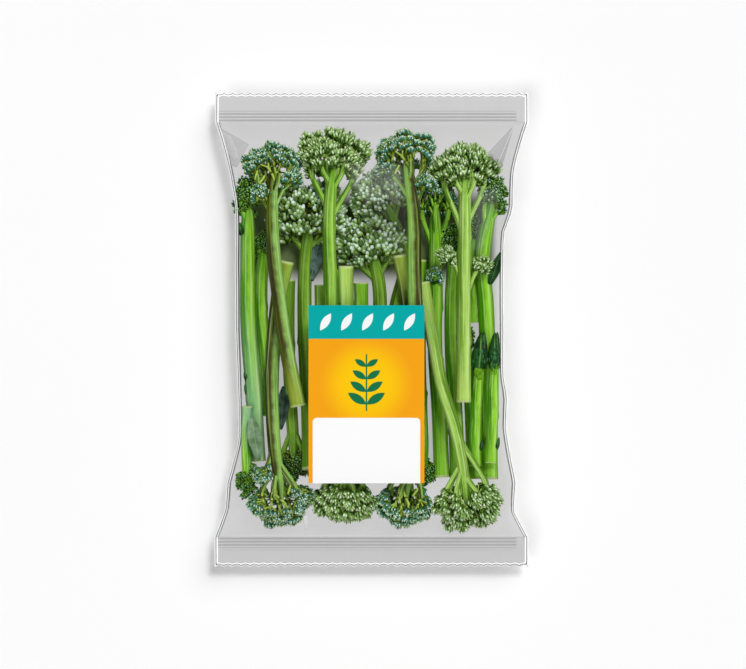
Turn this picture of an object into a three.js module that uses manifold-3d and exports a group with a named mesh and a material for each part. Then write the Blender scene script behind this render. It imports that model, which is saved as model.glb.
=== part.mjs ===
// A clear sealed bag of baby broccoli, lying on its back with its label up.
// Millimetres, +Z up. +Y runs along the bag towards its top seal, and the origin is on the
// surface under the middle of the bag.
// The bag is one film with a toothed seal at each end. The spears lie in it with heads at
// both ends, and each spear is one grown piece: stalk, branches, florets and small leaves.

import * as THREE from 'three';
import { mergeVertices } from 'three/addons/utils/BufferGeometryUtils.js';
import Module from 'manifold-3d';

const wasm = await Module();
wasm.setup();

// Bag
const BAG_LENGTH = 285;
const SEAL_WIDTH = 186;
const WAIST_WIDTH = 161;
const SEAL_DEPTH = 18;
const SEAL_TILT = 0.16; // radians that a seal droops
const FILM = 0.6;
const SEAM_HEIGHT = 19; // of the seals and side folds above the surface
const RISE = 23; // of the film above the seam, at the middle
const SINK = 22.5; // of the film below the seam, before the surface flattens it
const FULLNESS = 6; // power of the pillow's outline, 2 being an ellipse
const FLARE = 3; // power with which the waist widens to the seals
const FILM_STEPS = [10, 10]; // facets across and along the pillow
const TOOTH_PITCH = 5.17;
const TOOTH_DEPTH = 1;
const RIB_OFFSETS = [1.5, 4, 6.5]; // from the inner edge of a seal
const VENT_RADIUS = 2.5;
const VENTS = [[-30, -98], [30, -98], [-30, 98], [30, 98]]; // in the back of the bag

// Label
const LABEL_SIZE = [69, 106];
const LABEL_CENTRE = [-2.7, -38.6];
const LABEL_THICKNESS = 0.5;
const LABEL_GAP = 0.45; // glue line, and clearance between facets

// Florets. A head is a lobed dome with a pointed bud raised on every facet.
const BUD_HEIGHT = 2.6;
const BUD_SHARE = 0.34; // tallest bud, as a share of its head's radius
const HEAD_LOBES = 5; // florets round a head
const LOBE_RELIEF = 0.09; // as a share of the head's size
const UNDERSIDE = 0.5; // how much narrower the underside is than a ball
const BROAD_BALL = new THREE.OctahedronGeometry(1, 3);
const SMALL_BALL = new THREE.IcosahedronGeometry(1, 1);
const SLIM_BALL = new THREE.OctahedronGeometry(1, 1);
const SHOOT_BALL = new THREE.IcosahedronGeometry(1, 0);

// Facets round and along a stalk
const FRONT_FACETS = [7, 6];
const BACK_FACETS = [6, 6];

const PILLOW_HALF = BAG_LENGTH / 2 - SEAL_DEPTH;
const UP = new THREE.Vector3(0, 0, 1);

const COLOURS = {
  film: { color: 0xc9cccb, roughness: 0.25, metalness: 0 },
  label: { color: 0xf6a916, roughness: 0.5, metalness: 0 },
  blue: { color: 0x5f8f4a, roughness: 0.6, metalness: 0 },
  green: { color: 0x6d9a3e, roughness: 0.6, metalness: 0 },
};

// The spears. foot is the middle of the cut end, bends are points that the stalk passes, and
// crown is the middle of the head. size is the head's width across the bag, its depth through
// the bag and its height along the spear, and girth is the stalk's radius at the foot.
// A branch is [drop, turn]: how far below the crown it leaves the stalk, and where it meets the
// head, in degrees round the stalk from its right side.
// A shoot leaves the stalk drop below the crown for a small floret of its own at a place.
// A leaf grows at a share of the stalk's length, on one hand of it, and rise is how far its
// foot lies above the stalk's middle.
const SPEARS = [
  {
    name: 'spear_up_1', finish: 'blue', girth: 4.6, ball: BROAD_BALL,
    foot: [-43.5, -46, 27], bends: [[-50, -14, 27.5], [-55, 18, 29], [-59, 60, 32]],
    crown: [-59, 97, 20.5], size: [34, 27, 30],
    branches: [[28, 0], [22, 70], [32, 150], [24, 250]],
    shoots: [{ drop: 30, at: [-46, 90, 26], radius: 6 }, { drop: 41, at: [-67, 81, 28], radius: 6 }],
  },
  {
    name: 'spear_up_2', finish: 'green', girth: 4.5, ball: BROAD_BALL,
    foot: [-26, -46, 24], bends: [[-25, 0, 26], [-24.5, 30, 29], [-25, 65, 33]],
    crown: [-22.5, 104, 20.5], size: [43, 27, 32],
    branches: [[50, 0], [28, 60], [24, 120], [42, 180], [32, 270]],
  },
  {
    name: 'spear_up_3', finish: 'blue', girth: 4.6, ball: BROAD_BALL,
    foot: [27, -46, 27], bends: [[26.5, 0, 28], [26, 40, 30], [25.5, 70, 32]],
    crown: [21, 104, 20.5], size: [36, 27, 31],
    branches: [[26, 0], [22, 75], [32, 160], [24, 250]],
    shoots: [{ drop: 33, at: [7, 96, 25], radius: 6 }, { drop: 42, at: [33.5, 87, 28], radius: 6 }],
  },
  {
    name: 'spear_up_4', finish: 'green', girth: 4.5, ball: BROAD_BALL,
    foot: [55.5, -43.5, 27], bends: [[55.5, 0, 28], [55.5, 33, 30], [56, 66, 32]],
    crown: [56, 97, 20.5], size: [39, 27, 30],
    branches: [[46, 0], [28, 60], [24, 120], [52, 180], [32, 270]],
    shoots: [{ drop: 74, at: [44, 44, 30], radius: 5.5 }, { drop: 84, at: [67.5, 39, 27], radius: 5.5 }],
  },
  {
    name: 'spear_down_1', finish: 'blue', girth: 4.6, ball: BROAD_BALL,
    foot: [-51, 41, 16], bends: [[-56.5, 12, 15], [-59.5, -32, 17], [-58, -68, 23]],
    crown: [-54, -104, 20.5], size: [36, 27, 30],
    branches: [[28, 0], [24, 70], [32, 150], [25, 250]],
    shoots: [{ drop: 26, at: [-40, -98, 26], radius: 6 }, { drop: 38, at: [-66, -87, 26], radius: 6 }],
  },
  {
    name: 'spear_down_2', finish: 'green', girth: 4.4, ball: BROAD_BALL,
    foot: [-15, 38, 28], bends: [[-14.5, 5, 26], [-14.5, -50, 25], [-15, -74, 24]],
    crown: [-16, -103, 20.5], size: [37, 27, 29],
    branches: [[42, 0], [28, 60], [24, 120], [38, 180], [30, 270]],
  },
  {
    name: 'spear_down_3', finish: 'blue', girth: 4.6, ball: BROAD_BALL,
    foot: [17.4, 45, 17], bends: [[22, 18, 15], [25, -42, 15.5], [23.5, -72, 22]],
    crown: [20, -104, 20.5], size: [34, 27, 29],
    branches: [[28, 0], [22, 70], [30, 150], [25, 250]],
  },
  {
    name: 'spear_down_4', finish: 'green', girth: 4.2, ball: BROAD_BALL,
    foot: [31, 28, 20], bends: [[36, 0, 23], [42, -32, 25], [50, -58, 25], [54, -77, 24]],
    crown: [58, -106, 20], size: [41, 26, 30],
    branches: [[32, 0], [28, 60], [24, 120], [50, 180], [30, 270]],
  },
  {
    name: 'spear_back_1', finish: 'green', girth: 4.8, ball: SMALL_BALL,
    foot: [-36.5, -84, 21], bends: [[-37.5, -48, 16.5], [-39.5, -10, 9.5], [-40, 28, 8]],
    crown: [-37, 69, 14], size: [44, 24, 38],
    branches: [[24, 0], [28, 180]],
    leaves: [{ share: 0.74, hand: 1, length: 24, width: 9, rise: 1.5 }],
  },
  {
    name: 'spear_back_2', finish: 'green', girth: 4.8, ball: SMALL_BALL,
    foot: [3, -74, 8], bends: [[4.5, -10, 7], [5, 25, 7.5]],
    crown: [-1, 52, 13], size: [37, 23, 28],
    branches: [[26, 0], [30, 180]],
  },
  {
    name: 'spear_back_3', finish: 'green', girth: 4, ball: SMALL_BALL,
    foot: [12, -72, 7], bends: [[14, 10, 6], [20.5, 40, 6.5], [17, 58, 6.5]],
    crown: [5, 81.5, 12.5], size: [34, 20, 26],
    branches: [[22, 0], [20, 200]],
  },
  {
    name: 'spear_back_4', finish: 'blue', girth: 4.7, ball: SMALL_BALL,
    foot: [42.6, -89, 6.6], bends: [[41, -50, 6.6], [38.5, -10, 6.8], [39, 30, 7]],
    crown: [38.5, 78, 12.5], size: [26, 21, 26],
    branches: [[36, 0], [30, 90], [40, 180]],
    shoots: [{ drop: 60, at: [38, 33, 14.5], radius: 5 }],
  },
  {
    name: 'spear_back_5', finish: 'green', girth: 5.2, ball: SLIM_BALL,
    foot: [71, -90, 11], bends: [[70.6, -40, 11], [69, 15, 13], [67, 45, 15.5]],
    crown: [73.5, 80, 19], size: [16, 16, 28],
    branches: [[22, 30], [28, 150]],
    leaves: [{ share: 0.69, hand: 1, length: 20, width: 6.5, rise: 4.5 }],
  },
  {
    name: 'spear_back_6', finish: 'green', girth: 5, ball: SLIM_BALL,
    foot: [-68.4, -79, 10.8], bends: [[-70.4, -40, 13.2], [-73.6, 0, 17.3], [-74, 40, 17.8]],
    crown: [-74, 80, 17], size: [14.5, 14, 26],
    branches: [[24, 140]],
    leaves: [{ share: 0.85, hand: -1, length: 8, width: 4, rise: 2 }],
  },
  {
    name: 'spear_back_7', finish: 'blue', girth: 4.2, ball: SLIM_BALL,
    foot: [-50, 30, 6.2], bends: [[-50, 0, 6.3], [-49.5, -20, 6.8]],
    crown: [-46, -80, 9.5], size: [22, 16, 23],
    branches: [[24, 20], [26, 140]],
    leaves: [{ share: 0.58, hand: 1, length: 26, width: 8, rise: 1.5 }],
  },
  {
    name: 'spear_back_8', finish: 'green', girth: 4.3, ball: SLIM_BALL,
    foot: [-61.4, -52, 6.2], bends: [[-62.4, -30, 6.4], [-65.3, 0, 9.5], [-66.2, 15, 10.5]],
    crown: [-65, 50, 12.5], size: [11, 12, 19],
  },
  {
    name: 'spear_back_9', finish: 'green', girth: 4.2, ball: SLIM_BALL,
    foot: [-6, 28, 7], bends: [[-5.5, 5, 8]],
    crown: [-5, -62, 16], size: [12, 12, 18],
  },
  {
    name: 'spear_back_10', finish: 'green', girth: 4.7, ball: SLIM_BALL,
    foot: [52.4, -89, 6.5], bends: [[50.8, -50, 6.5], [48.7, -10, 6.6], [48.7, 20, 7]],
    crown: [51, 55, 11], size: [13, 13, 22],
  },
  {
    name: 'spear_back_11', finish: 'green', girth: 4, ball: SLIM_BALL,
    foot: [62.2, 4, 8.3], bends: [[61.6, 25, 8.3]],
    crown: [61, 60, 9.5], size: [12, 12, 20],
  },
  {
    name: 'spear_back_12', finish: 'green', girth: 4.6, ball: SLIM_BALL,
    foot: [62, -90, 6.9], bends: [[60.6, -50, 6.6]],
    crown: [57.3, -6, 8], size: [9, 10, 20],
  },
  {
    name: 'spear_back_13', finish: 'green', girth: 4.4, ball: SLIM_BALL,
    foot: [-29.6, 27, 6.2], bends: [[-29.6, 0, 6.2]],
    crown: [-27, -62, 9], size: [12, 12, 22],
  },
  {
    name: 'spear_back_14', finish: 'green', girth: 4.2, ball: SLIM_BALL,
    foot: [-18.4, 36, 6.4], bends: [[-18.4, 0, 6.4]],
    crown: [-16, -58, 8.5], size: [10, 10, 20],
  },
  {
    name: 'spear_back_15', finish: 'green', girth: 4, ball: SLIM_BALL,
    foot: [29.4, 42, 6.4], bends: [[29.4, -20, 6.4]],
    crown: [32, -86, 11], size: [12, 12, 20],
  },
  {
    name: 'spear_slim_1', finish: 'green', girth: 3.8, ball: SLIM_BALL,
    foot: [62.5, -82, 17], bends: [[63, -50, 17]],
    crown: [65.2, -17, 23], size: [10, 10, 31],
  },
  {
    name: 'spear_slim_2', finish: 'green', girth: 3.6, ball: SLIM_BALL,
    foot: [72, -80, 23.3], bends: [[73, -50, 23.1]],
    crown: [73.9, -17, 22.2], size: [8, 8.5, 31],
  },
  {
    name: 'spear_slim_3', finish: 'blue', girth: 3.2, ball: SLIM_BALL,
    foot: [-74.2, -46, 21], bends: [[-75, -66, 19.5]],
    crown: [-74.5, -91, 18.5], size: [11, 11, 21],
    leaves: [{ share: 0.14, hand: -1, length: 26, width: 9, rise: 1.5 }],
  },
];

// Solids and geometry

function soldered(geometry) {
  geometry.deleteAttribute('normal');
  geometry.deleteAttribute('uv');
  return mergeVertices(geometry, 1e-4);
}

function solidOf(geometry) {
  return new wasm.Manifold(new wasm.Mesh({
    numProp: 3,
    vertProperties: new Float32Array(geometry.attributes.position.array),
    triVerts: new Uint32Array(geometry.index.array),
  }));
}

function geometryOf(solid) {
  const mesh = solid.getMesh();
  return new THREE.BufferGeometry()
    .setAttribute('position', new THREE.BufferAttribute(mesh.vertProperties, 3))
    .setIndex(new THREE.BufferAttribute(mesh.triVerts, 1));
}

function united(solids) {
  return solids.reduce((whole, piece) => whole.add(piece));
}

// Moves every vertex of a geometry by a function of its place.
function reshaped(geometry, move) {
  const places = geometry.attributes.position;
  const place = new THREE.Vector3();
  for (let i = 0; i < places.count; i++) {
    move(place.fromBufferAttribute(places, i));
    places.setXYZ(i, place.x, place.y, place.z);
  }
  return geometry;
}

function eased(share) {
  return share * share * (3 - 2 * share);
}

// The bag's shape

function halfWidth(y) {
  const share = Math.min(1, Math.abs(y) / PILLOW_HALF);
  return WAIST_WIDTH / 2 + (SEAL_WIDTH - WAIST_WIDTH) / 2 * share ** FLARE;
}

// 1 at the middle of the pillow and 0 along its seams.
function bulge(x, y) {
  const along = 1 - Math.min(1, Math.abs(y) / PILLOW_HALF) ** FULLNESS;
  const across = 1 - Math.min(1, Math.abs(x) / halfWidth(y)) ** FULLNESS;
  return Math.sqrt(along * across);
}

function filmTop(x, y) {
  return SEAM_HEIGHT + FILM + RISE * bulge(x, y);
}

// A closed pillow, inset by a distance from the bag's outer surface.
function pillow(inset) {
  const box = soldered(new THREE.BoxGeometry(2, 2, 2, ...FILM_STEPS, 1));
  return solidOf(reshaped(box, (p) => {
    const share = Math.sin(p.x * Math.PI / 2);
    const reach = Math.sin(p.y * Math.PI / 2);
    const y = reach * PILLOW_HALF;
    const full = bulge(share * halfWidth(y), y);
    const seam = FILM - inset * 0.75;
    const side = Math.sign(p.z);
    const swell = side > 0 ? (RISE - inset) * full : (SINK - inset) * full;
    p.x = share * (halfWidth(y) - inset * 1.4);
    p.y = reach * (PILLOW_HALF - inset * 1.4);
    p.z = Math.max(inset, SEAM_HEIGHT + side * (seam + swell));
  }));
}

// A flat seal with a toothed outer edge and raised crimp ribs, drooping a little.
function seal(end) {
  const outline = new THREE.Shape();
  const half = SEAL_WIDTH / 2;
  const teeth = Math.round(SEAL_WIDTH / TOOTH_PITCH);
  outline.moveTo(-half, -1);
  outline.lineTo(half, -1);
  for (let i = teeth; i > 0; i--) {
    const x = -half + i * SEAL_WIDTH / teeth;
    outline.lineTo(x, SEAL_DEPTH - TOOTH_DEPTH);
    outline.lineTo(x - SEAL_WIDTH / teeth / 2, SEAL_DEPTH);
  }
  outline.lineTo(-half, SEAL_DEPTH - TOOTH_DEPTH);
  const plate = new THREE.ExtrudeGeometry(outline, { depth: 2 * FILM, bevelEnabled: false });
  plate.translate(0, 0, -FILM);
  const ribs = RIB_OFFSETS.map((offset) => {
    const rib = new THREE.BoxGeometry(SEAL_WIDTH - 6, 1, 2 * FILM + 0.8);
    return rib.translate(0, offset + 0.5, 0);
  });
  const crimped = [plate, ...ribs].map((piece) => {
    piece.rotateX(-SEAL_TILT);
    piece.translate(0, PILLOW_HALF, SEAM_HEIGHT);
    if (end < 0) piece.rotateZ(Math.PI);
    return solidOf(soldered(piece));
  });
  return united(crimped);
}

function bagFilm() {
  let film = pillow(0).add(seal(1)).add(seal(-1)).subtract(pillow(FILM));
  for (const [x, y] of VENTS) {
    const vent = new THREE.CylinderGeometry(VENT_RADIUS, VENT_RADIUS, SEAM_HEIGHT, 8);
    vent.rotateX(Math.PI / 2).translate(x, y, SEAM_HEIGHT / 2 - 3);
    film = film.subtract(solidOf(soldered(vent)));
  }
  return geometryOf(film);
}

// The label follows the film.
function label() {
  const [width, length] = LABEL_SIZE;
  const [centreX, centreY] = LABEL_CENTRE;
  const plate = soldered(new THREE.BoxGeometry(width, length, 1, 4, 8, 1));
  return reshaped(plate, (p) => {
    p.x += centreX;
    p.y += centreY;
    p.z = filmTop(p.x, p.y) + LABEL_GAP + (p.z + 0.5) * LABEL_THICKNESS;
  });
}

// Spears

// A round stem along a curve, with a radius that changes from end to end.
function stem(curve, radius, sides, steps) {
  const frames = curve.computeFrenetFrames(steps, false);
  const rod = soldered(new THREE.CylinderGeometry(1, 1, 1, sides, steps));
  return reshaped(rod, (p) => {
    const share = p.y + 0.5;
    const step = Math.round(share * steps);
    const across = frames.normals[step].clone().multiplyScalar(p.x * radius(share));
    const other = frames.binormals[step].clone().multiplyScalar(-p.z * radius(share));
    p.copy(curve.getPointAt(share)).add(across).add(other);
  });
}

// Raises a bud on every facet of a ball.
function budded(ball, height) {
  const { array } = ball.attributes.position;
  const corners = [];
  for (let i = 0; i < array.length; i += 9) {
    const [a, b, c] = [0, 3, 6].map((k) => new THREE.Vector3().fromArray(array, i + k));
    const tip = a.clone().add(b).add(c).setLength(1 + height);
    corners.push(a, b, tip, b, c, tip, c, a, tip);
  }
  return soldered(new THREE.BufferGeometry().setFromPoints(corners));
}

// A head of florets: a budded dome, lobed all round and narrower underneath.
function head(centre, axis, side, [width, depth, height], ball, phase) {
  const bud = Math.min(BUD_SHARE, BUD_HEIGHT / (width / 2 - BUD_HEIGHT));
  return reshaped(budded(ball, bud), (p) => {
    const lobe = LOBE_RELIEF * Math.cos(HEAD_LOBES * Math.atan2(p.z, p.x) + phase);
    const narrow = 1 - UNDERSIDE * Math.max(0, -p.y);
    const out = (1 + (lobe - LOBE_RELIEF) * Math.hypot(p.x, p.z)) / (1 + bud);
    const { x, y, z } = p;
    p.copy(centre).addScaledVector(side, x * out * narrow * width / 2)
      .addScaledVector(axis, y * out * height / 2)
      .addScaledVector(UP, z * out * narrow * depth / 2);
  });
}

// A small thin leaf that lies along the stalk and stands off it.
function leaf(root, axis, out, length, width) {
  const blade = soldered(new THREE.BoxGeometry(1, 1, 0.7, 2, 4, 1));
  return reshaped(blade, (p) => {
    const share = p.y + 0.5;
    const breadth = width * (0.25 + 0.75 * Math.sin(Math.PI * (0.1 + 0.85 * share)));
    const reach = out.clone().multiplyScalar(1.5 + share * length * 0.15 + p.x * breadth);
    const arch = 2 * Math.sin(Math.PI * share) - 6 * p.x * p.x;
    p.set(root.x, root.y, root.z + p.z + arch)
      .addScaledVector(axis, share * length).add(reach);
  });
}

// A branch leaves the stalk and runs beside it to a place off its line.
function branch(stalk, start, place) {
  const offset = place.clone().sub(stalk.getPointAt(1));
  const line = [];
  for (let i = 0; i <= 4; i++) {
    const share = i / 4;
    const point = stalk.getPointAt(start + (1 - start) * share);
    line.push(point.addScaledVector(offset, eased(share)));
  }
  return stem(new THREE.CatmullRomCurve3(line), (t) => 1.9 - 0.4 * t, 4, 3);
}

// A short side branch that bends away from the stalk to its own floret.
function shootStem(stalk, start, place) {
  const root = stalk.getPointAt(start);
  const knee = root.clone().lerp(place, 0.55);
  const ahead = stalk.getTangentAt(start);
  knee.addScaledVector(ahead, -0.12 * root.distanceTo(place));
  return stem(new THREE.CatmullRomCurve3([root, knee, place]), (t) => 1.7 - 0.4 * t, 4, 2);
}

// Joins the pieces of a spear and keeps only the outer skin, so nothing is hollow.
function grownTogether(pieces) {
  const whole = united(pieces.map(solidOf));
  const skins = whole.decompose();
  skins.sort((a, b) => b.volume() - a.volume());
  return geometryOf(skins[0]);
}

function spear(plan) {
  const { girth, shoots = [], leaves = [] } = plan;
  const [width, depth, height] = plan.size;
  const points = [plan.foot, ...plan.bends, plan.crown].map((p) => new THREE.Vector3(...p));
  const crown = points[points.length - 1];
  const stalk = new THREE.CatmullRomCurve3(points);
  const length = stalk.getLength();
  const axis = crown.clone().sub(points[points.length - 2]).setZ(0).normalize();
  const side = new THREE.Vector3().crossVectors(axis, UP);
  const facets = plan.ball === BROAD_BALL ? FRONT_FACETS : BACK_FACETS;
  const pieces = [
    stem(stalk, (t) => girth * (1 - 0.22 * t), ...facets),
    head(crown, axis, side, plan.size, plan.ball, plan.foot[0]),
  ];
  for (const [drop, turn] of plan.branches ?? []) {
    const angle = THREE.MathUtils.degToRad(turn);
    const place = crown.clone().addScaledVector(axis, -height * 0.12)
      .addScaledVector(side, Math.cos(angle) * width * 0.33)
      .addScaledVector(UP, Math.sin(angle) * depth * 0.3);
    pieces.push(branch(stalk, 1 - drop / length, place));
  }
  for (const { drop, at, radius } of shoots) {
    const place = new THREE.Vector3(...at);
    const size = [2 * radius, 1.8 * radius, 2.2 * radius];
    pieces.push(shootStem(stalk, 1 - drop / length, place));
    pieces.push(head(place, axis, side, size, SHOOT_BALL, drop));
  }
  for (const blade of leaves) {
    const out = side.clone().multiplyScalar(blade.hand);
    const root = stalk.getPointAt(blade.share).addScaledVector(out, girth * 0.4);
    root.addScaledVector(UP, blade.rise);
    pieces.push(leaf(root, axis, out, blade.length, blade.width));
  }
  return grownTogether(pieces);
}

function named(name, geometry, finish) {
  const mesh = new THREE.Mesh(geometry, new THREE.MeshStandardMaterial(COLOURS[finish]));
  mesh.name = name;
  return mesh;
}

const bunch = new THREE.Group();
bunch.add(named('bag_film', bagFilm(), 'film'));
bunch.add(named('label', label(), 'label'));
for (const plan of SPEARS) bunch.add(named(plan.name, spear(plan), plan.finish));

export default bunch;
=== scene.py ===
# A clear sealed bag of baby broccoli with a label, lying on a pale floor.
# Shapes are made in millimetres and turned to metres as each piece is finished.
# +Y runs along the bag towards its top seal, and +Z is up.

import math
import random

import bmesh
import bpy
import numpy as np
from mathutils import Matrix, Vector


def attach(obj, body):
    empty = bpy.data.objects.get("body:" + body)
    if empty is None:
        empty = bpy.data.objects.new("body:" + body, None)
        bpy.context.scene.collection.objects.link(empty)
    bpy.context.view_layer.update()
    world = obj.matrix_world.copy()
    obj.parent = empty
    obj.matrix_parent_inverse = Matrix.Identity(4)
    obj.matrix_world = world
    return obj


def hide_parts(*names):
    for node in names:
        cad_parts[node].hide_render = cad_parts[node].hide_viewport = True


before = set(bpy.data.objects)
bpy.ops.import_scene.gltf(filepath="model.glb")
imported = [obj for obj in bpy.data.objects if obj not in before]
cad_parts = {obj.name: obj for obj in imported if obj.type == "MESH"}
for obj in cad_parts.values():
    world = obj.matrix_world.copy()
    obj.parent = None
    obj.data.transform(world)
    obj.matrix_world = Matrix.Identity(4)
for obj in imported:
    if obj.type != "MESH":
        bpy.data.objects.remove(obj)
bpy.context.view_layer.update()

MM = 0.001
UP = np.array([0.0, 0.0, 1.0])
GOLDEN_TURN = math.pi * (3 - math.sqrt(5))

# Bag
SEAL_WIDTH = 186
WAIST_WIDTH = 161
PILLOW_HALF = 124.5
SEAL_DEPTH = 18
SEAL_TILT = 0.16
SEAM_HEIGHT = 19
SEAM_HALF = 0.6
RISE = 23
SINK = 22.5
FULLNESS = 6
FLARE = 3
FILM_COLUMNS = 216
PILLOW_ROWS = 64
RIB_ROWS = 16
HEM_ROWS = 8
RIB_ZONE = 7.5
RIB_PITCH = 1.9
RIB_HEIGHT = 0.35
RIB_END = 88.0
TEETH = 36
TOOTH_DEPTH = 1
VENT_RADIUS = 2.5
VENTS = [(-30, -98), (30, -98), (-30, 98), (30, 98)]

# How far the side folds wander outwards, as places along the bag and shifts
LEFT_FOLD = [
    (-125, 1), (-108, -1), (-92, 1.1), (-67, -2.7), (-30, -0.4), (0, 1), (40, 0.8),
    (75, -1.6), (96, -0.8), (125, 0.5)]
RIGHT_FOLD = [
    (-125, 1.5), (-109, -2.9), (-91, 1.9), (-60, -0.6), (-40, 1.2), (-28, -1), (0, -0.8),
    (58, -1.6), (72, 2.6), (95, -0.1), (102, 0.2), (125, 1.5)]

# How much the film covers what is behind it
BACK_COVER = 0.85
FRONT_COVER = 0.04

# The back of the film is dark grey; a painted glow gives most of its brightness
BACK_GREY = (84, 84, 84)
SEAL_GREY = (212, 212, 212)
# Painted shade: a dark green laid on the back of the film under the bunch, standing for the shadow
# between the stalks
PAINTED_SHADE_GREEN = (112, 132, 78)
PAINTED_SHADE_BOX = (-76, 74, -84, 82)  # where green shade is painted on the back of the film
PAINTED_SHADE_STEP = 34  # behind the stalks, below this, the painted shade is thinner
THIN_PAINTED_SHADE = 0.25

# Painted reflections and painted shade on facets of the creased film: corners turning left, a grey,
# how much of it covers, and softness
PAINTED_FACETS = [
    ([(-91, 121), (-84, 98), (-80, 97), (-73, 110.5)], 176, 0.6, 0.4),
    ([(-90, 119.5), (-87.5, 107), (-82, 101.5), (-79, 102.5), (-80, 108), (-84, 116)], 208, 0.6, 0.5),
    ([(84.5, 121), (69.6, 104.8), (75.3, 99.2)], 168, 0.7, 0.5),
    ([(84.5, 118.5), (75.3, 96.8), (78, 96.8)], 160, 0.7, 0.4),
    ([(-14, 99), (-12, 84), (2, 70), (19, 64), (19, 98)], 190, 0.16, 4),
    ([(-10, 74), (0, 60), (19, 46), (20, 72), (10, 78)], 60, 0.3, 0.5),
    ([(61, 84), (60, 46), (67, 46), (75, 70), (76, 84)], 190, 0.14, 4),
    ([(-40.5, -111), (-39.6, -119.5), (-37.4, -119.5), (-37.4, -111)], 232, 0.6, 0.4),
    ([(0, -114.5), (23, -120.6), (45, -117), (44, -124.5), (0, -124.5)], 170, 0.45, 0.9),
    ([(45, -117), (80, -122), (80, -124.5), (44, -124.5)], 176, 0.4, 0.9),
]

# Label
LABEL_SIZE = (69, 106)
LABEL_CENTRE = (-2.7, -38.6)
LABEL_THICKNESS = 0.5
LABEL_GAP = 0.1
BAND_FOOT = 33
BAND_LEAVES = 5
BAND_PITCH = 12.5
SPRIG_FOOT = -10
SPRIG_HEIGHT = 34
SPRIG_PAIRS = 4
PANEL_HALF = 32
PANEL_TOP = -14
PANEL_ROUND = 2.5

# Finishes of a spear, in the order of its material slots
SKIN, STEM, BUD, CUT, LEAF = range(5)

YOUNG_BELOW = -0.024  # where the closed tips turn yellow-green, in metres along the bag

# Closed tips: where the folded sheath starts on the head, and its ragged scales
SHEATH_START = 0.3
SCALES = 7
SCALE_SIZE = (7, 2.6)

# Stalks
TAPER = 0.16
RIDGES = 7
RIDGE_DEPTH = 0.022
SCARS = 3
SCAR_HEIGHT = 0.8

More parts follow.
